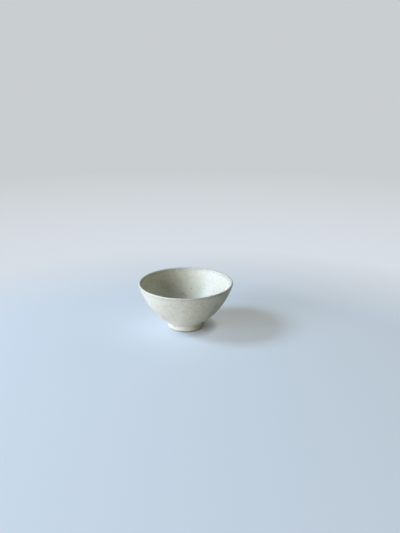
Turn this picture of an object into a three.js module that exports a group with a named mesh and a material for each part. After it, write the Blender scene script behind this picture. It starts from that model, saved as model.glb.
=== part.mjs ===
// A hand-thrown footed bowl under a crackle glaze.
// The clay is two pieces, a thrown body and a foot ring luted under it. The fired glaze is three
// coats: one over the outside, one lining the inside and one in the well of the foot. The glaze
// is wiped off the edge that the bowl stands on.
// Millimetres, +Z up. The origin is on the table, under the middle of the foot.
import * as THREE from "three";

const { degToRad } = THREE.MathUtils;

// Sizes of the finished bowl, over the glaze
const rimDiameter = 120;
const bowlHeight = 60;
const lipThickness = 2.6;

// The wall leaves the foot at a slant, swells and comes up steeply to the lip.
const wallThickness = 4.6;
const wallLeavesFoot = degToRad(37.5);
const wallReachesLip = degToRad(72);
const bellyReach = 18.5;
const shoulderReach = 23.5;
const floorThickness = 5;

// The foot narrows a little towards the table, and its well is turned out underneath.
const footDiameter = 46.5;
const footHeight = 8;
const footFlare = 0.4;
const footFillet = 2.5;
const standingWidth = 5;
const standingEdgeRound = 1.7;
const wellDraft = 0.6;
const wellFillet = 1.6;

// The glaze, the clay that is left bare above the table, and the space kept where layers meet
const glazeThickness = 0.5;
const bareFootBand = 2.1;
const bondGap = 0.05;

// Facets
const spinSteps = 48;
const wallSteps = 9;
const floorSteps = 4;
const roundSteps = 3;

const rimRadius = rimDiameter / 2;
const lipRadius = lipThickness / 2;
const footRadius = footDiameter / 2;
const clayDepth = glazeThickness + bondGap;

const point = (x, y) => new THREE.Vector2(x, y);
const heading = (angle) => point(Math.cos(angle), Math.sin(angle));
const along = (start, direction, distance) => start.clone().addScaledVector(direction, distance);
const leftOf = (direction) => point(-direction.y, direction.x).normalize();

// The point where two lines cross, each given by a point and a direction
function crossing(start, direction, other, otherDirection) {
  const reach = other.clone().sub(start).cross(otherDirection) / direction.cross(otherDirection);
  return along(start, direction, reach);
}

// Where a straight edge passes a given height
function atHeight([low, high], height) {
  return low.clone().lerp(high, (height - low.y) / (high.y - low.y));
}

// Points along curves that follow each other, each with its number of steps
function trace(...legs) {
  return legs.flatMap(([curve, steps], leg) => curve.getPoints(steps).slice(leg ? 1 : 0));
}

// An outline moved to its left, mitred at its corners. A point on the axis stays there.
function movedLeft(outline, distance) {
  return outline.map((here, i) => {
    const before = outline[i - 1] ?? here;
    const after = outline[i + 1] ?? here;
    const sideBefore = leftOf(i ? here.clone().sub(before) : after.clone().sub(here));
    const sideAfter = leftOf(after === here ? here.clone().sub(before) : after.clone().sub(here));
    const mitre = sideBefore.clone().add(sideAfter).divideScalar(1 + sideBefore.dot(sideAfter));
    const moved = along(here, mitre, distance);
    return here.x === 0 ? point(0, moved.y) : moved;
  });
}

// Outside of the foot: a straight face that would meet the wall at a corner, and a fillet there
const footCorner = point(footRadius + footFlare, footHeight);
const footFace = [point(footRadius, 0), footCorner];
const footRise = footCorner.clone().sub(footFace[0]).normalize();
const filletLow = along(footCorner, footRise, -footFillet);
const filletHigh = along(footCorner, heading(wallLeavesFoot), footFillet);

// Outside of the wall, up to where it runs into the round of the lip
const lipCentre = point(rimRadius - lipRadius, bowlHeight - lipRadius);
const wallTop = along(lipCentre, heading(wallReachesLip - Math.PI / 2), lipRadius);
const belly = along(filletHigh, heading(wallLeavesFoot), bellyReach);
const shoulder = along(wallTop, heading(wallReachesLip), -shoulderReach);

// Inside of the wall: the outside's control points moved in, thicker at the foot than at the lip
const wallSide = shoulder.clone().sub(belly);
const midThickness = (wallThickness + lipThickness) / 2;
const midWall = along(belly, leftOf(wallSide), midThickness);
const innerTop = along(wallTop, leftOf(heading(wallReachesLip)), lipThickness);
const innerLow = along(filletHigh, leftOf(heading(wallLeavesFoot)), wallThickness);
const innerShoulder = crossing(innerTop, heading(wallReachesLip), midWall, wallSide);
const innerBelly = crossing(innerLow, heading(wallLeavesFoot), midWall, wallSide);

// Inside of the floor, level at the middle
const floorTop = point(0, filletLow.y + floorThickness);
const floorTurn = crossing(innerLow, heading(wallLeavesFoot), floorTop, point(1, 0));

// The two glazed faces, from the wiped edge of the foot to the top of the lip, and on to the floor
const lipRound = (from, to) =>
  new THREE.EllipseCurve(lipCentre.x, lipCentre.y, lipRadius, lipRadius, from, to);
const outerFace = trace(
  [new THREE.LineCurve(atHeight(footFace, bareFootBand), filletLow), 1],
  [new THREE.QuadraticBezierCurve(filletLow, footCorner, filletHigh), roundSteps],
  [new THREE.CubicBezierCurve(filletHigh, belly, shoulder, wallTop), wallSteps],
  [lipRound(wallReachesLip - Math.PI / 2, 0), 1],
  [lipRound(0, Math.PI / 2), roundSteps],
);
const innerFace = trace(
  [lipRound(Math.PI / 2, wallReachesLip + Math.PI / 2), roundSteps],
  [new THREE.CubicBezierCurve(innerTop, innerShoulder, innerBelly, innerLow), wallSteps],
  [new THREE.QuadraticBezierCurve(innerLow, floorTurn, floorTop), floorSteps],
);

// A coat of glaze: its face and, one thickness deeper, its back. Both coats end at the lip's top.
const glazedFace = [...outerFace, ...innerFace.slice(1)];
const glazeBack = movedLeft(glazedFace, glazeThickness);
const lipIndex = outerFace.length - 1;
const outerGlazeOutline = [...outerFace, ...glazeBack.slice(0, lipIndex + 1).reverse()];
const innerGlazeOutline = [...innerFace, ...glazeBack.slice(lipIndex).reverse()];

// The clay body fills the space between the two coats, down to a flat seat for the foot ring.
const bodyFace = movedLeft(glazedFace, clayDepth).slice(1);
const seatHeight = bodyFace[0].y;
const bodyOutline = [...bodyFace, point(0, seatHeight)];

// The foot ring: a flat standing face with rounded edges, bare clay, and a drafted well
const ringFace = movedLeft(footFace, clayDepth);
const ringTop = seatHeight - bondGap;
const ringOuterFoot = atHeight(ringFace, 0);
const wellFace = [
  along(ringOuterFoot, point(1, 0), -standingWidth),
  point(ringOuterFoot.x - standingWidth - wellDraft, ringTop),
];
const standingCurve = (face, towardsMiddle) =>
  new THREE.QuadraticBezierCurve(
    atHeight(face, standingEdgeRound),
    atHeight(face, 0),
    along(atHeight(face, 0), point(towardsMiddle, 0), standingEdgeRound),
  );
const ringOutline = [
  atHeight(ringFace, ringTop),
  wellFace[1],
  ...standingCurve(wellFace, 1).getPoints(roundSteps),
  ...standingCurve(ringFace, -1).getPoints(roundSteps).reverse(),
];

// The well's glaze: up the inside of the ring and over the underside of the body, filling the corner
const wellBackFace = wellFace.map((corner) => along(corner, point(1, 0), -bondGap));
const wellBack = [atHeight(wellBackFace, bareFootBand), wellBackFace[1], point(0, ringTop)];
const [wellLow, wellCorner, wellMiddle] = movedLeft(wellBack, glazeThickness);
const wellRise = wellCorner.clone().sub(wellLow).normalize();
const wellRound = new THREE.QuadraticBezierCurve(
  along(wellCorner, wellRise, -wellFillet),
  wellCorner,
  along(wellCorner, point(1, 0), -wellFillet),
);
const wellGlazeOutline = [
  ...wellBack,
  wellMiddle,
  ...wellRound.getPoints(roundSteps).reverse(),
  wellLow,
];

// An outline turned about the upright axis into a named piece
function spun(name, outline, look) {
  const closed = [...outline, outline[0]];
  const geometry = new THREE.LatheGeometry(closed, spinSteps).rotateX(Math.PI / 2);
  const piece = new THREE.Mesh(geometry, new THREE.MeshStandardMaterial(look));
  piece.name = name;
  return piece;
}

const bareClay = { color: 0xcdbfa8, roughness: 0.9, metalness: 0 };
const ivoryGlaze = { color: 0xe3e1d6, roughness: 0.4, metalness: 0 };

const clay = new THREE.Group();
clay.add(
  spun("bowl_body", bodyOutline, bareClay),
  spun("foot_ring", ringOutline, bareClay),
);
const glaze = new THREE.Group();
glaze.add(
  spun("outer_glaze", outerGlazeOutline, ivoryGlaze),
  spun("inner_glaze", innerGlazeOutline, ivoryGlaze),
  spun("well_glaze", wellGlazeOutline, ivoryGlaze),
);
const bowl = new THREE.Group();
bowl.add(clay, glaze);

export default bowl;
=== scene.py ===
"""A footed bowl under a crackle glaze, standing on a plain pale floor."""
import math

import bpy
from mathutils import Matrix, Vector


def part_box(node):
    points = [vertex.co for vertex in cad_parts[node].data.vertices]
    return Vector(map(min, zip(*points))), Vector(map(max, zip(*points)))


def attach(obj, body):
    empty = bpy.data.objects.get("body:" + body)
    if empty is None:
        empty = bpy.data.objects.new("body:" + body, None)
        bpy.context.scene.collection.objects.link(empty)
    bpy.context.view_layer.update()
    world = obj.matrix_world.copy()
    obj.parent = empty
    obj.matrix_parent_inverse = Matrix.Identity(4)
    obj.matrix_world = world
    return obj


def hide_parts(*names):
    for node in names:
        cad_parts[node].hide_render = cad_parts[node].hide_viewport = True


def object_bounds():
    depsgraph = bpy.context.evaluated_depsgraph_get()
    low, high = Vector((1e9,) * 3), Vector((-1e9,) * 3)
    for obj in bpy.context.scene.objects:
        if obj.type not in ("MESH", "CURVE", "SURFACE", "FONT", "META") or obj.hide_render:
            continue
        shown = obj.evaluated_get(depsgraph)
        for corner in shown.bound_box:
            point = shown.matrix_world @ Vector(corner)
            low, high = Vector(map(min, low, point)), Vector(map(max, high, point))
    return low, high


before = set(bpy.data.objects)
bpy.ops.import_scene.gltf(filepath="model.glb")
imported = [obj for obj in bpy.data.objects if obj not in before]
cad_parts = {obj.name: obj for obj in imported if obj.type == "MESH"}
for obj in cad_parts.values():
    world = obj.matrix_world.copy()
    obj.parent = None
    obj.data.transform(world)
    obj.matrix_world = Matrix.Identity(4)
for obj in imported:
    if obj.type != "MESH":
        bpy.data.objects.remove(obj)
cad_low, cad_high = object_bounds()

MM = 0.001

# Sizes that the CAD bowl was drawn to, read from the frame or repeated in metres
RIM_RADIUS = cad_high.x
BOWL_HEIGHT = cad_high.z
BARE_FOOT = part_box("outer_glaze")[0].z
RING_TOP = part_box("foot_ring")[1].z
LIP_RADIUS = 1.3 * MM
WALL_THICKNESS = 4.6 * MM
WALL_LEAVES_FOOT = math.radians(37.5)
WALL_REACHES_LIP = math.radians(72)
BELLY_REACH = 18.5 * MM
SHOULDER_REACH = 23.5 * MM
FLOOR_THICKNESS = 5 * MM
FOOT_RADIUS = 23.25 * MM
FOOT_HEIGHT = 8 * MM
FOOT_FLARE = 0.4 * MM
FOOT_FILLET = 2.5 * MM
STANDING_WIDTH = 5 * MM
STANDING_EDGE_ROUND = 1.7 * MM
WELL_DRAFT = 0.6 * MM
WELL_FILLET = 1.6 * MM
GLAZE_THICKNESS = 0.5 * MM
BOND_GAP = 0.05 * MM

# Steps of the finished surfaces
TURNS = 256
WALL_STEPS = 84
LIP_STEPS = 12
FLOOR_STEPS = 30
FILLET_STEPS = 12
BEAD_STEPS = 12
SEAT_STEPS = 2
BACK_STRIDE = 4
SHARP_ANGLE = math.radians(40)
MERGE_DISTANCE = 1e-6

# The rolled edge where the glaze stops above the standing face. The swell is a share of the coat's
# thickness, and the crest's place and spread are shares of the reach.
BEAD_REACH = 1.0 * MM
BEAD_ROUND = 0.45 * MM
BEAD_SWELL = 0.4
BEAD_CREST = 0.45
BEAD_SPREAD = 0.35

# The inside is fuller under the lip, so that the wall tapers up to it, and less so towards the floor
TAPER_DEPTH = 1.8 * MM
TAPER_FADE = 20 * MM
TAPER_SWELL = 1.3 * MM

# Marks of the wheel and the hand
RIM_SWAY = 0.22 * MM
RIM_DIP = 0.3 * MM
OUTSIDE_RING_DEPTH = 0.05 * MM
INSIDE_RING_DEPTH = 0.12 * MM
RING_PITCH = 6.5 * MM
GLAZE_EDGE_WAVE = 0.9 * MM
GLAZE_EDGE_REACH = 2.6 * MM
GLAZE_EDGE_MIDDLE = 0.4
RIPPLE_SHARE = 0.2
WHEEL_SEED = 7.3

# The throwing rings lie between two shares of the bowl's height, and keep a share of their depth
RINGS_FROM = 0.2
RINGS_TO = 0.95
RINGS_FADE = 1 / 6
RINGS_LEAST = 0.35

# Slow changes round the bowl: the scale of each one's noise, and its place in that noise
DRIFTS = {
    "sway": (1.1, 0.0),
    "dip": (0.9, 4.0),
    "rings": (1.6, 9.0),
    "edge": (2.4, 15.0),
    "ripple": (7.0, 21.0),
}
NOISE_LOW = 0.25
NOISE_SPAN = 0.5

# The bake's map is a disc: hidden faces take a tenth of their width on it
MAP_MIDDLE = 0.5
MAP_RADIUS = 0.49
HIDDEN_SHARE = 0.1
OUTER_MAP_HOLE = 16 * MM
RING_MAP_HOLE = 8 * MM

# Colours, in linear light
IVORY = (0.775, 0.75, 0.67)
COOL_IVORY = (0.71, 0.705, 0.625)
WARM_IVORY = (0.72, 0.66, 0.55)
POOLED_GLAZE_AND_BOUNCE = (0.70, 0.69, 0.54)
TEA_STAIN = (0.23, 0.18, 0.12)
IRON = (0.16, 0.10, 0.055)
THIN_GLAZE = (0.55, 0.545, 0.51)
BUFF_CLAY = (0.40, 0.38, 0.345)
PALE_CLAY = (0.48, 0.46, 0.425)
GROG = (0.30, 0.23, 0.16)
FLOOR_BOUNCE = (0.74, 0.74, 0.72)
FLOOR_COLOUR = (0.68, 0.82, 0.98)
FLOOR_SHADE = (0.34, 0.36, 0.37)
FLOOR_GLOW = (0.70, 0.73, 0.75)
WALL_GLOW = (0.69, 0.73, 0.79)
BACKDROP_COLOUR = (0.585, 0.615, 0.63)

# The floor: its half width, its glow, its painted shade near the foot, and where it fades into the
# backdrop
FLOOR_HALF = 12
FLOOR_LIFT = 0.45
FLOOR_SHADE_REACH = 0.018
TOWARDS_WINDOW = (-0.8, 0.15, 0.58)
FLOOR_FADE_MIDDLE = (0, -0.25, 0)
FAR_FROM = 0.36
FAR_FADE = 0.24
BACKDROP_FROM = 0.6
BACKDROP_FADE = 0.9

# Nets of craze lines, coarse to fine: the size of a cell and the width of a line in millimetres,
# how dark the lines are in clean glaze, and how much darker in stained glaze
CRAZE_NETS = (
    (13, 0.2, 0.31, 0.38),
    (6, 0.15, 0.17, 0.35),
    (2.9, 0.1, 0.06, 0.23),
)

# How many nets are open grooves, how far a cell shuffles the next net in millimetres, how soft a
# line's edge is, and a limit that keeps distances finite where a crack lies along the glaze
OPEN_NETS = 2
CELL_SHUFFLE = 60
LINE_EDGE = 1.5
TILT_LIMIT = 1.02

# How the craze lines bend: the size of a bend, and how far it goes, in millimetres
LINE_BENDS = (
    (11, 7.0),
    (1.6, 0.5),
)

# Clouds in the glaze and the clay: their size in millimetres, how rare they are and how crisp
STAINED = {"size": 16, "middle": 0.45, "contrast": 3.0}
COOL_CLOUDS = {"size": 34}
WARM_CLOUDS = {"size": 21, "middle": 0.56}
GRAIN = {"size": 2.4, "contrast": 3.0, "detail": 3.0}
THIN_CLOUDS = {"size": 14}
DULL_CLOUDS = {"size": 6}
CLAY_CLOUDS = {"size": 5}
CHALKY_CLOUDS = {"size": 1.5}

# How far the clouds change the colour. Glaze pools where a face lies flatter than a level; this olive
# tint is partly real pooling and partly painted reflection, standing in for warm light bounced inside
# the bowl.
COOL_SHARE = 0.55
WARM_SHARE = 0.5
GRAIN_SHARE = 0.08
POOL_AND_BOUNCE_SHARE = 0.5
POOL_AND_BOUNCE_LEVEL = 1 / 6

# The band under the lip where the glaze runs thin: millimetres down from the rim
THIN_FROM = 0.3
THIN_FROM_FADE = 0.8
THIN_TO = 4.6
THIN_TO_FADE = 2.4
THIN_LEAST = 0.5
THIN_CHANGE = 0.3

# Roughness, and relief in millimetres
GLAZE_ROUGHNESS = 0.37
DULL_ROUGHNESS = 0.08
LINE_ROUGHNESS = 0.2
PEEL_SIZE = 1.3
PEEL_HEIGHT = 0.012
GROOVE_DEPTH = 0.02
PIT_DEPTH = 0.02
CLAY_ROUGHNESS = 0.8
CHALKY_ROUGHNESS = 0.1
TOOTH_SIZE = 0.5
TOOTH_DETAIL = 3.0
TOOTH_HEIGHT = 0.05
GROG_DEPTH = 0.03

# Specks: how far apart, radius and soft edge in millimetres, and how dark
IRON_SPECKS = (
    (2.7, 0.3, 0.13, 0.6),
    (5.8, 0.63, 0.27, 0.78),
)
GROG_SPECKS = (1.1, 0.2, 0.12)
GROG_SHARE = 0.6
SPOT_EDGE = 0.3
SPOT_SHARE = 0.75

# Larger iron spots in the glaze: places and radius in millimetres
IRON_SPOTS = (
    (7.6, 44.2, 34.6, 0.95),
    (-2.9, -52.8, 41.6, 0.7),
    (6.4, -57.8, 53.3, 0.6),
    (6.3, -54.7, 45.9, 0.6),
    (2.0, -50.6, 37.5, 0.65),
    (5.1, -44.1, 28.1, 0.65),
    (16.4, -51.9, 44.5, 0.6),
    (-8.9, -56.9, 51.9, 0.55),
)

# Soft lamps: azimuth and elevation in degrees, width in metres, colour and watts
LAMP_REACH = 2.2
LAMPS = {
    "window": (180, 40, 0.65, (0.73, 0.88, 1.0), 37.5),
    "window_foot": (204, 16, 0.9, (0.56, 0.7, 1.0), 31.5),
    "front_softbox": (227, 14, 0.95, (1.0, 0.92, 0.7), 19.8),
    "room_fill": (30, 25, 1.2, (0.95, 1.0, 0.48), 5),
}

# The camera, fitted to the rim's ellipse and the foot: metres, angles and lens in millimetres
CAMERA_BACK = 0.7167
CAMERA_UP = 0.3176
CAMERA_PITCH = math.radians(18.32)
CAMERA_YAW = math.radians(1.45)
CAMERA_LENS = 40.5
SENSOR_WIDTH = 36


class Wire:
    """A socket of a node tree. Arithmetic on wires adds Math nodes to their tree."""

    def __init__(self, tree, socket=None):
        self.tree = tree
        self.socket = socket

    def node(self, kind, settings=None, inputs=None, output=0):
        """Adds a node: its settings first, then the values or links of its sockets."""
        made = self.tree.nodes.new(kind)
        for name, value in (settings or {}).items():
            setattr(made, name, value)
        for name, value in (inputs or {}).items():
            if isinstance(value, Wire):
                self.tree.links.new(value.socket, made.inputs[name])
            else:
                made.inputs[name].default_value = value
        return Wire(self.tree, made.outputs[output])

    def other(self, output):
        """Another output of the node that this wire comes from."""
        return Wire(self.tree, self.socket.node.outputs[output])

    def into(self, node, name):
        self.tree.links.new(self.socket, node.inputs[name])

    def math(self, operation, *values):
        return self.node("ShaderNodeMath", {"operation": operation}, dict(enumerate(values)))

    def vector(self, operation, *values, output=0):
        settings = {"operation": operation}
        return self.node("ShaderNodeVectorMath", settings, dict(enumerate(values)), output)

    def scaled(self, amount):
        return self.node("ShaderNodeVectorMath", {"operation": "SCALE"}, {0: self, 3: amount})

    def dot(self, other):
        return self.vector("DOT_PRODUCT", self, other, output="Value")

    def clamped(self):
        return self.node("ShaderNodeClamp", inputs={"Value": self})

    def __add__(self, other):
        return self.math("ADD", self, other)

    def __sub__(self, other):
        return self.math("SUBTRACT", self, other)

    def __rsub__(self, other):
        return self.math("SUBTRACT", other, self)

    def __mul__(self, other):
        return self.math("MULTIPLY", self, other)

    def __truediv__(self, other):
        return self.math("DIVIDE", self, other)

    __radd__ = __add__
    __rmul__ = __mul__


# Sections of the pieces: x is the distance from the axis and y the height
def heading(angle):
    return Vector((math.cos(angle), math.sin(angle)))


def left_of(direction):
    return Vector((-direction.y, direction.x)).normalized()


def crossing(start, direction, other, other_direction):
    """Where two lines meet, each given by a point and a direction."""
    reach = (other - start).cross(other_direction) / direction.cross(other_direction)
    return start + direction * reach


def at_height(low, high, height):
    return low.lerp(high, (height - low.y) / (high.y - low.y))


def bezier(steps, *knots):
    """Points along a Bezier curve of any degree."""
    line = []
    for step in range(steps + 1):
        left = list(knots)
        while len(left) > 1:
            left = [a.lerp(b, step / steps) for a, b in zip(left, left[1:])]
        line.append(left[0])
    return line


def arc(steps, centre, radius, start, end):
    angles = [start + (end - start) * step / steps for step in range(steps + 1)]
    return [centre + heading(angle) * radius for angle in angles]


def joined(*legs):
    """Legs that follow each other, without the points that they share."""
    line = list(legs[0])
    for leg in legs[1:]:
        line += leg[1:]
    return line


def moved_left(line, distance):
    """A line moved to its left, mitred at its corners. A point on the axis stays on it."""
    ways = [left_of(b - a) for a, b in zip(line, line[1:])]
    moved = []
    for here, before, after in zip(line, ways[:1] + ways, ways + ways[-1:]):
        place = here + (before + after) / (1 + before.dot(after)) * distance
        moved.append(Vector((0, place.y)) if here.x == 0 else place)
    return moved


def rolled(face, back):
    """A coat's face with a rolled edge at its first point, where it comes down to the clay."""
    run = 0
    edged = []
    for index, (outer, inner) in enumerate(zip(face, back)):
        run += (outer - face[index - 1]).length if index else 0
        rounding = math.sqrt(1 - (1 - min(run / BEAD_ROUND, 1)) ** 2)
        off_crest = (run / BEAD_REACH - BEAD_CREST) / BEAD_SPREAD
        bead = BEAD_SWELL * math.exp(-(off_crest**2))
        edged.append(inner.lerp(outer, rounding * (1 + bead)))
    return edged


def tapered(face):
    """The inner face, fuller under the lip and as it was towards the floor."""
    fuller = []
    for spot in face:
        drop = BOWL_HEIGHT - spot.y
        swell = TAPER_SWELL * (1 - math.exp(-drop / TAPER_DEPTH)) * math.exp(-drop / TAPER_FADE)
        fuller.append(Vector((spot.x * (1 - swell / RIM_RADIUS), spot.y)))
    return fuller


def thinned(line):
    """Fewer points of a hidden line, with both its ends."""
    return line[:-1:BACK_STRIDE] + line[-1:]


def glazed_faces():
    """The outer face from the wiped edge to the top of the lip, and the inner face from there."""
    corner = Vector((FOOT_RADIUS + FOOT_FLARE, FOOT_HEIGHT))
    foot = Vector((FOOT_RADIUS, 0))
    rise = (corner - foot).normalized()
    edge = at_height(foot, corner, BARE_FOOT)
    bead_end = edge + rise * BEAD_REACH
    fillet_low = corner - rise * FOOT_FILLET
    fillet_high = corner + heading(WALL_LEAVES_FOOT) * FOOT_FILLET

    lip = Vector((RIM_RADIUS - LIP_RADIUS, BOWL_HEIGHT - LIP_RADIUS))
    lip_outside = WALL_REACHES_LIP - math.pi / 2
    lip_inside = WALL_REACHES_LIP + math.pi / 2
    wall_top = lip + heading(lip_outside) * LIP_RADIUS
    belly = fillet_high + heading(WALL_LEAVES_FOOT) * BELLY_REACH
    shoulder = wall_top - heading(WALL_REACHES_LIP) * SHOULDER_REACH

    side = shoulder - belly
    mid_wall = belly + left_of(side) * (WALL_THICKNESS / 2 + LIP_RADIUS)
    inner_top = lip + heading(lip_inside) * LIP_RADIUS
    inner_low = fillet_high + left_of(heading(WALL_LEAVES_FOOT)) * WALL_THICKNESS
    inner_shoulder = crossing(inner_top, heading(WALL_REACHES_LIP), mid_wall, side)
    inner_belly = crossing(inner_low, heading(WALL_LEAVES_FOOT), mid_wall, side)
    floor = Vector((0, fillet_low.y + FLOOR_THICKNESS))
    floor_turn = crossing(inner_low, heading(WALL_LEAVES_FOOT), floor, Vector((1, 0)))

    outer = joined(
        bezier(BEAD_STEPS, edge, bead_end),
        bezier(BEAD_STEPS, bead_end, fillet_low),
        bezier(FILLET_STEPS, fillet_low, corner, fillet_high),
        bezier(WALL_STEPS, fillet_high, belly, shoulder, wall_top),
        arc(LIP_STEPS, lip, LIP_RADIUS, lip_outside, math.pi / 2),
    )
    inner = joined(
        arc(LIP_STEPS, lip, LIP_RADIUS, math.pi / 2, lip_inside),
        bezier(WALL_STEPS, inner_top, inner_shoulder, inner_belly, inner_low),
        bezier(FLOOR_STEPS, inner_low, floor_turn, floor),
    )
    return outer, inner


def standing_round(low, high, inward):
    """The rounded edge between a side of the foot ring and its standing face."""
    end = low + Vector((inward * STANDING_EDGE_ROUND, 0))
    return bezier(FILLET_STEPS, at_height(low, high, STANDING_EDGE_ROUND), low, end)


def foot_sections():
    """The foot ring's outline, and the face and back of the glaze in its well."""
    foot = Vector((FOOT_RADIUS, 0))
    corner = Vector((FOOT_RADIUS + FOOT_FLARE, FOOT_HEIGHT))
    side = moved_left([foot, corner], GLAZE_THICKNESS + BOND_GAP)
    low = at_height(*side, 0)
    high = at_height(*side, RING_TOP)
    well_low = low - Vector((STANDING_WIDTH, 0))
    well_high = Vector((well_low.x - WELL_DRAFT, RING_TOP))
    outer_round = standing_round(low, high, -1)
    well_round = standing_round(well_low, well_high, 1)
    ring = joined(
        bezier(BEAD_STEPS, outer_round[0], high),
        bezier(SEAT_STEPS, high, well_high),
        bezier(BEAD_STEPS, well_high, well_round[0]),
        well_round,
        bezier(FILLET_STEPS, well_round[-1], outer_round[-1]),
        outer_round[::-1],
    )

    gap = Vector((BOND_GAP, 0))
    edge = at_height(well_low, well_high, BARE_FOOT) - gap
    back = [edge, well_high - gap, Vector((0, RING_TOP))]
    face_edge, turn, middle = moved_left(back, GLAZE_THICKNESS)
    rise = (turn - face_edge).normalized()
    bead_end = face_edge + rise * BEAD_REACH
    round_low = turn - rise * WELL_FILLET
    round_high = turn - Vector((WELL_FILLET, 0))
    face = joined(
        bezier(BEAD_STEPS, face_edge, bead_end),
        bezier(BEAD_STEPS, bead_end, round_low),
        bezier(FILLET_STEPS, round_low, turn, round_high),
        bezier(FLOOR_STEPS, round_high, middle),
    )
    return ring, face, back


def map_radii(line, hidden_from, hidden_to, hole):
    """Each point's distance from the middle of the bake's map, in step with the line."""
    run = [hole]
    for index, (a, b) in enumerate(zip(line, line[1:])):
        share = HIDDEN_SHARE if hidden_from <= index < hidden_to else 1
        run.append(run[-1] + (b - a).length * share)
    if hidden_from == 0:
        run = [run[-1] - there for there in run]
    return [there / max(run) * MAP_RADIUS for there in run]


def section_object(name, line, radii):
    """A section as a curve: x is the radius, z the height and y the radius on the bake's map."""
    curve = bpy.data.curves.new(name, "CURVE")
    curve.dimensions = "3D"
    spline = curve.splines.new("POLY")
    spline.points.add(len(line) - 1)
    for place, spot, radius in zip(spline.points, line, radii):
        place.co = (spot.x, radius, spot.y, 1)
    thing = bpy.data.objects.new(name, curve)
    bpy.context.scene.collection.objects.link(thing)
    return thing


SPIN_INPUTS = {
    "Turns": ("NodeSocketInt", TURNS),
    "Rim Height": ("NodeSocketFloat", BOWL_HEIGHT),
    "Rim Radius": ("NodeSocketFloat", RIM_RADIUS),
    "Rim Sway": ("NodeSocketFloat", RIM_SWAY),
    "Rim Dip": ("NodeSocketFloat", RIM_DIP),
    "Ring Depth": ("NodeSocketFloat", 0.0),
    "Ring Pitch": ("NodeSocketFloat", RING_PITCH),
    "Edge Wave": ("NodeSocketFloat", 0.0),
    "Edge Height": ("NodeSocketFloat", BARE_FOOT),
    "Edge Reach": ("NodeSocketFloat", GLAZE_EDGE_REACH),
    "Seed": ("NodeSocketFloat", WHEEL_SEED),
    "Material": ("NodeSocketMaterial", None),
}


def spin_tree():
    """Turns a section about the upright axis and leaves the marks of the wheel on it."""
    tree = bpy.data.node_groups.new("spun_section", "GeometryNodeTree")
    tree.interface.new_socket("Section", in_out="INPUT", socket_type="NodeSocketGeometry")
    for name, (kind, _) in SPIN_INPUTS.items():
        tree.interface.new_socket(name, in_out="INPUT", socket_type=kind)
    tree.interface.new_socket("Piece", in_out="OUTPUT", socket_type="NodeSocketGeometry")
    start = tree.nodes.new("NodeGroupInput")
    size = {socket.name: Wire(tree, socket) for socket in start.outputs if socket.name}
    net = Wire(tree)

    rows = net.node(
        "GeometryNodeAttributeDomainSize",
        {"component": "CURVE"},
        {0: size["Section"]},
        "Point Count",
    )
    grid = net.node(
        "GeometryNodeMeshGrid", inputs={"Vertices X": size["Turns"] + 1, "Vertices Y": rows}
    )
    index = net.node("GeometryNodeInputIndex")
    row = net.math("MODULO", index, rows)
    column = net.math("FLOOR", (index + 0.5) / rows)
    angle = column / size["Turns"] * (2 * math.pi)
    east = net.math("COSINE", angle)
    north = net.math("SINE", angle)
    spot = net.node(
        "GeometryNodeSampleIndex",
        {"data_type": "FLOAT_VECTOR", "domain": "POINT"},
        {
            "Geometry": size["Section"],
            "Value": net.node("GeometryNodeInputPosition"),
            "Index": row,
        },
    )
    radius = net.node("ShaderNodeSeparateXYZ", inputs={0: spot})
    map_radius = radius.other("Y")
    height = radius.other("Z")

    def drift(name):
        """A slow change round the bowl, from 0 to 1."""
        scale, shift = DRIFTS[name]
        around = net.node(
            "ShaderNodeCombineXYZ", inputs={0: east, 1: north, 2: size["Seed"] + shift}
        )
        found = net.node(
            "ShaderNodeTexNoise", inputs={"Vector": around, "Scale": scale, "Detail": 1.0}
        )
        return ((found - NOISE_LOW) / NOISE_SPAN).clamped()

    rise = height / size["Rim Height"]
    lift = rise * rise * (radius / size["Rim Radius"])
    sway = size["Rim Sway"] * lift * drift("sway")
    dip = size["Rim Dip"] * lift * drift("dip")

    turn = height / size["Ring Pitch"] * (2 * math.pi) + angle
    above = ((rise - RINGS_FROM) / RINGS_FADE).clamped()
    below = ((RINGS_TO - rise) / RINGS_FADE).clamped()
    swell = (net.math("SINE", turn) * 0.5 + 0.5) * (drift("rings") + RINGS_LEAST)
    ring = size["Ring Depth"] * (above * below) * swell

    near_edge = 1 - ((height - size["Edge Height"]) / size["Edge Reach"]).clamped()
    wave = drift("edge") * (1 - RIPPLE_SHARE) + drift("ripple") * RIPPLE_SHARE - GLAZE_EDGE_MIDDLE
    new_radius = radius - sway - ring
    new_height = height - dip + size["Edge Wave"] * wave * near_edge
    place = net.node(
        "ShaderNodeCombineXYZ",
        inputs={0: new_radius * east, 1: new_radius * north, 2: new_height},
    )
    map_place = net.node(
        "ShaderNodeCombineXYZ",
        inputs={0: map_radius * east + MAP_MIDDLE, 1: map_radius * north + MAP_MIDDLE},
    )
    map_corner = net.node(
        "GeometryNodeFieldOnDomain",
        {"data_type": "FLOAT_VECTOR", "domain": "POINT"},
        {"Value": map_place},
    )
    shaped = net.node("GeometryNodeSetPosition", inputs={"Geometry": grid, "Position": place})
    mapped = net.node(
        "GeometryNodeStoreNamedAttribute",
        {"data_type": "FLOAT2", "domain": "CORNER"},
        {"Geometry": shaped, "Name": "OFBake", "Value": map_corner},
    )
    closed = net.node(
        "GeometryNodeMergeByDistance", inputs={"Geometry": mapped, "Distance": MERGE_DISTANCE}
    )
    plain = net.node("GeometryNodeRealizeInstances", inputs={"Geometry": closed})
    dressed = net.node(
        "GeometryNodeSetMaterial", inputs={"Geometry": plain, "Material": size["Material"]}
    )
    dressed.into(tree.nodes.new("NodeGroupOutput"), "Piece")
    return tree


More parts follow.
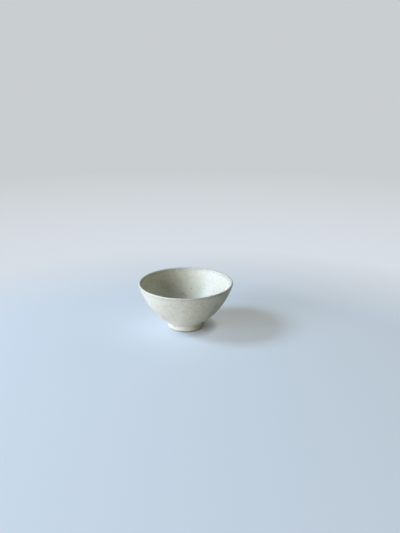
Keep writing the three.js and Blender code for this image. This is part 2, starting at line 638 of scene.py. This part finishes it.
def spun(tree, name, line, radii, material, **sizes):
    """A plain mesh made by turning a section, with the tree's inputs set from sizes."""
    thing = section_object(name + "_section", line, radii)
    modifier = thing.modifiers.new("spin", "NODES")
    modifier.node_group = tree
    chosen = {label: value for label, (_, value) in SPIN_INPUTS.items()}
    chosen.update({label.replace("_", " ").title(): value for label, value in sizes.items()})
    chosen["Material"] = material
    for item in tree.interface.items_tree:
        if item.in_out == "INPUT" and item.name in chosen:
            modifier[item.identifier] = chosen[item.name]
    graph = bpy.context.evaluated_depsgraph_get()
    mesh = bpy.data.meshes.new_from_object(thing.evaluated_get(graph))
    bpy.data.objects.remove(thing)
    mesh.name = name
    if mesh.materials[0] is None:
        mesh.materials.pop(index=0)
    mesh.shade_smooth()
    mesh.set_sharp_from_angle(angle=SHARP_ANGLE)
    piece = bpy.data.objects.new(name, mesh)
    bpy.context.scene.collection.objects.link(piece)
    return piece


# Materials, with places and sizes in millimetres
def emptied(holder):
    """The node tree of a material or a world, with nothing in it."""
    holder.use_nodes = True
    holder.node_tree.nodes.clear()
    return Wire(holder.node_tree)


def shader(name):
    """A new material, its tree and its Principled surface."""
    material = bpy.data.materials.new(name)
    net = emptied(material)
    surface = net.node("ShaderNodeBsdfPrincipled")
    surface.into(net.tree.nodes.new("ShaderNodeOutputMaterial"), "Surface")
    return material, net, surface.socket.node


def rgb(colour):
    return (*colour, 1)


def strongest(net, masks):
    """The highest of several masks, place by place."""
    most, *others = masks
    for mask in others:
        most = net.math("MAXIMUM", most, mask)
    return most


def raised(net, surface, relief):
    """Gives a surface a relief in millimetres."""
    bump = net.node("ShaderNodeBump", inputs={"Height": relief, "Distance": MM})
    bump.into(surface, "Normal")


def mixed(net, share, first, second, blend="MIX"):
    """Two colours mixed by a share from 0 to 1, in the Mix node's sockets for colours."""
    colours = [c if isinstance(c, Wire) else rgb(c) for c in (first, second)]
    return net.node(
        "ShaderNodeMix",
        {"data_type": "RGBA", "blend_type": blend},
        {0: share, 6: colours[0], 7: colours[1]},
        2,
    )


def noise(net, spot, size, detail=2.0, output="Fac"):
    return net.node(
        "ShaderNodeTexNoise",
        inputs={"Vector": spot, "Scale": 1 / size, "Detail": detail},
        output=output,
    )


def patches(net, spot, size, middle=0.5, contrast=4.0, detail=2.0):
    """Soft patches from 0 to 1; a higher middle makes them rarer."""
    return ((noise(net, spot, size, detail) - middle) * contrast + 0.5).clamped()


def cell(net, spot, size, feature, output):
    return net.node(
        "ShaderNodeTexVoronoi",
        {"feature": feature},
        {"Vector": spot, "Scale": 1 / size},
        output,
    )


def craze(net, spot, facing, size, width):
    """Craze lines round cells of a size, as wide on a slanting wall as on any, and the cells.

    A line is where two cells meet. Its distance is measured along the glaze, not straight through it.
    """
    near = cell(net, spot, size, "F1", "Position")
    following = cell(net, spot, size, "F2", "Position")
    across = net.vector("NORMALIZE", net.vector("SUBTRACT", following, near))
    middle = net.vector("ADD", near, following).scaled(0.5)
    depth = net.vector("SUBTRACT", middle, spot).dot(across)
    tilt = across.dot(facing)
    distance = depth / net.math("SQRT", TILT_LIMIT - tilt * tilt)
    return (LINE_EDGE - distance / (width / 2)).clamped(), near.other("Color")


def specks(net, spot, size, radius, edge):
    distance = cell(net, spot, size, "F1", "Distance") * size
    return ((radius - distance) / edge).clamped()


def crackle_glaze():
    material, net, surface = shader("crackle_glaze")
    spot = net.node("ShaderNodeTexCoord", output="Object").scaled(1 / MM)
    facing = net.node("ShaderNodeTexCoord", output="Normal")
    height = net.node("ShaderNodeSeparateXYZ", inputs={0: spot}, output="Z")
    level = net.node("ShaderNodeSeparateXYZ", inputs={0: facing}, output="Z")

    # Each finer net is shuffled from cell to cell of the coarser one, so that its lines stop there
    bent = spot
    for size, reach in LINE_BENDS:
        bend = net.vector("SUBTRACT", noise(net, spot, size, 1.0, "Color"), (0.5, 0.5, 0.5))
        bent = net.vector("ADD", bent, bend.scaled(reach))
    stained = patches(net, spot, **STAINED)
    cracks = []
    darkened = []
    for size, width, clean_share, stain_share in CRAZE_NETS:
        if cracks:
            bent = net.vector("ADD", bent, cells.scaled(CELL_SHUFFLE))
        found, cells = craze(net, bent, facing, size, width)
        cracks.append(found)
        darkened.append(found * (stained * stain_share + clean_share))
    lines = strongest(net, darkened)

    iron = []
    for size, radius, edge, share in IRON_SPECKS:
        iron.append(specks(net, spot, size, radius, edge) * share)
    for *place, radius in IRON_SPOTS:
        distance = net.vector("DISTANCE", spot, place, output="Value")
        iron.append(((radius - distance) / SPOT_EDGE).clamped() * SPOT_SHARE)
    dots = strongest(net, iron)

    colour = mixed(net, patches(net, spot, **COOL_CLOUDS) * COOL_SHARE, IVORY, COOL_IVORY)
    colour = mixed(net, patches(net, spot, **WARM_CLOUDS) * WARM_SHARE, colour, WARM_IVORY)
    # Partly real pooling, partly painted reflection: flatter faces, mostly inside the bowl, take an
    # olive tint for the warm light bounced there
    pooled_and_bounce = ((level - POOL_AND_BOUNCE_LEVEL) / (1 - POOL_AND_BOUNCE_LEVEL)).clamped()
    colour = mixed(net, pooled_and_bounce * POOL_AND_BOUNCE_SHARE, colour, POOLED_GLAZE_AND_BOUNCE)
    grain = patches(net, spot, **GRAIN)
    colour = mixed(net, grain * GRAIN_SHARE, colour, COOL_IVORY, "MULTIPLY")

    down = BOWL_HEIGHT / MM - height
    under_lip = ((down - THIN_FROM) / THIN_FROM_FADE).clamped()
    over_wall = ((THIN_TO - down) / THIN_TO_FADE).clamped()
    thin = patches(net, spot, **THIN_CLOUDS) * THIN_CHANGE + THIN_LEAST
    colour = mixed(net, under_lip * over_wall * thin, colour, THIN_GLAZE)
    colour = mixed(net, lines, colour, TEA_STAIN)
    colour = mixed(net, dots, colour, IRON)
    colour.into(surface, "Base Color")

    dull = patches(net, spot, **DULL_CLOUDS) * DULL_ROUGHNESS
    (dull + GLAZE_ROUGHNESS + lines * LINE_ROUGHNESS).into(surface, "Roughness")
    peel = noise(net, spot, PEEL_SIZE, 1.0) * PEEL_HEIGHT
    groove = strongest(net, cracks[:OPEN_NETS]) * GROOVE_DEPTH
    raised(net, surface, peel - groove - dots * PIT_DEPTH)
    return material


def bare_clay():
    material, net, surface = shader("bare_clay")
    spot = net.node("ShaderNodeTexCoord", output="Object").scaled(1 / MM)
    colour = mixed(net, patches(net, spot, **CLAY_CLOUDS), BUFF_CLAY, PALE_CLAY)
    grog = specks(net, spot, *GROG_SPECKS)
    colour = mixed(net, grog * GROG_SHARE, colour, GROG)
    colour.into(surface, "Base Color")
    chalky = patches(net, spot, **CHALKY_CLOUDS)
    (chalky * CHALKY_ROUGHNESS + CLAY_ROUGHNESS).into(surface, "Roughness")
    tooth = noise(net, spot, TOOTH_SIZE, TOOTH_DETAIL) * TOOTH_HEIGHT
    raised(net, surface, tooth - grog * GROG_DEPTH)
    return material


glaze = crackle_glaze()
clay = bare_clay()

# The sections of the pieces, and the tree that turns them
tree = spin_tree()
outer_face, inner_face = glazed_faces()
ring_line, well_face, well_back = foot_sections()
coat_back = moved_left(joined(outer_face, inner_face), GLAZE_THICKNESS)
outer_back = coat_back[: len(outer_face)]
inner_back = coat_back[len(outer_face) - 1 :]

# The coat over the outside, from its rolled edge above the table to the top of the lip
outer_line = rolled(outer_face, outer_back) + thinned(outer_back[::-1])
outer_radii = map_radii(outer_line, len(outer_face) - 1, len(outer_line), OUTER_MAP_HOLE)
outer_coat = spun(
    tree,
    "outer_glaze_coat",
    outer_line,
    outer_radii,
    glaze,
    ring_depth=OUTSIDE_RING_DEPTH,
    edge_wave=GLAZE_EDGE_WAVE,
)

# The coat that lines the inside
inner_hidden = thinned(inner_back[::-1])
inner_line = inner_hidden + tapered(inner_face)
inner_coat = spun(
    tree,
    "inner_glaze_coat",
    inner_line,
    map_radii(inner_line, 0, len(inner_hidden), 0),
    glaze,
    ring_depth=INSIDE_RING_DEPTH,
)

# The coat in the well of the foot
well_under = bezier(len(well_face) - 1, well_back[0], well_back[1])
well_shown = rolled(well_face, well_under)[::-1]
well_line = well_shown + well_back[1:]
well_coat = spun(
    tree,
    "well_glaze_coat",
    well_line,
    map_radii(well_line, len(well_shown) - 1, len(well_line), 0),
    glaze,
    edge_wave=GLAZE_EDGE_WAVE,
)

# The foot ring, bare where the bowl stands
ring_radii = map_radii(ring_line, len(ring_line), len(ring_line), RING_MAP_HOLE)
foot_ring = spun(tree, "foot_ring_clay", ring_line, ring_radii, clay)

# Each piece stands for a node of the CAD bowl. The clay body, between the coats, stays the CAD's.
for piece, node, slot in (
    (outer_coat, "outer_glaze", "glaze"),
    (inner_coat, "inner_glaze", "glaze"),
    (well_coat, "well_glaze", "glaze"),
    (foot_ring, "foot_ring", "clay"),
):
    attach(piece, "root")
    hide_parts(node)

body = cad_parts["bowl_body"]
body.data.materials.clear()
body.data.materials.append(clay)


def background_rays(net):
    """1 for the camera's rays and for reflected and refracted ones, and 0 for light on the bowl."""
    seen = net.node("ShaderNodeLightPath", output="Is Camera Ray")
    return strongest(net, [seen, seen.other("Is Glossy Ray"), seen.other("Is Transmission Ray")])


def floor_material():
    """A pale floor that keeps the bowl's shadow, with painted shade near the foot, and fades into the
    backdrop's colour.
    """
    material = bpy.data.materials.new("pale_floor")
    net = emptied(material)
    spot = net.node("ShaderNodeTexCoord", output="Object")
    distance = net.vector("DISTANCE", spot, FLOOR_FADE_MIDDLE, output="Value")
    far = ((distance - FAR_FROM) / FAR_FADE).clamped()
    deep = ((distance - BACKDROP_FROM) / BACKDROP_FADE).clamped()
    camera_ray = net.node("ShaderNodeLightPath", output="Is Camera Ray")
    way = net.node("ShaderNodeCombineXYZ", inputs=dict(enumerate(TOWARDS_WINDOW)))
    open_side = net.node(
        "ShaderNodeAmbientOcclusion",
        inputs={"Distance": FLOOR_SHADE_REACH, "Normal": way},
        output="AO",
    )
    # Painted shade: near the foot, on the side away from TOWARDS_WINDOW, the floor's colour darkens
    # towards FLOOR_SHADE and its glow fades
    tint = mixed(net, open_side, FLOOR_SHADE, FLOOR_COLOUR)
    tint = mixed(net, camera_ray, FLOOR_BOUNCE, tint)
    paper = net.node("ShaderNodeBsdfDiffuse", inputs={"Color": tint})
    light = mixed(net, far, FLOOR_GLOW, WALL_GLOW)
    light = mixed(net, deep, light, BACKDROP_COLOUR)
    glow = net.node("ShaderNodeEmission", inputs={"Color": light})
    lift = camera_ray * FLOOR_LIFT
    share = background_rays(net) * (far * (1 - lift) + lift) * open_side
    shown = net.node("ShaderNodeMixShader", inputs={0: share, 1: paper, 2: glow})
    shown.into(net.tree.nodes.new("ShaderNodeOutputMaterial"), "Surface")
    return material


# The floor, the lamps, the backdrop and the camera
floor_mesh = bpy.data.meshes.new("floor")
corners = [(-1, -1), (1, -1), (1, 1), (-1, 1)]
floor_mesh.from_pydata([(x * FLOOR_HALF, y * FLOOR_HALF, 0) for x, y in corners], [], [range(4)])
floor_mesh.materials.append(floor_material())
floor = bpy.data.objects.new("floor", floor_mesh)
bpy.context.scene.collection.objects.link(floor)

for name, (azimuth, elevation, width, colour, watts) in LAMPS.items():
    lamp = bpy.data.lights.new(name, "AREA")
    lamp.size = width
    lamp.color = colour
    lamp.energy = watts
    holder = bpy.data.objects.new(name, lamp)
    level = heading(math.radians(azimuth)) * math.cos(math.radians(elevation))
    holder.location = Vector((*level, math.sin(math.radians(elevation)))) * LAMP_REACH
    holder.rotation_euler = (-holder.location).to_track_quat("-Z", "Y").to_euler()
    holder.visible_camera = False
    bpy.context.scene.collection.objects.link(holder)

world = bpy.data.worlds.new("studio")
sky = emptied(world)
backdrop = sky.node(
    "ShaderNodeBackground",
    inputs={"Color": rgb(BACKDROP_COLOUR), "Strength": background_rays(sky)},
)
backdrop.into(sky.tree.nodes.new("ShaderNodeOutputWorld"), "Surface")
bpy.context.scene.world = world

lens = bpy.data.cameras.new("camera")
lens.sensor_width = SENSOR_WIDTH
lens.lens = CAMERA_LENS
camera = bpy.data.objects.new("camera", lens)
camera.location = (0, -CAMERA_BACK, CAMERA_UP)
camera.rotation_euler = (math.pi / 2 - CAMERA_PITCH, 0, -CAMERA_YAW)
bpy.context.scene.collection.objects.link(camera)
bpy.context.scene.camera = camera
bpy.context.scene.view_settings.view_transform = "Standard"
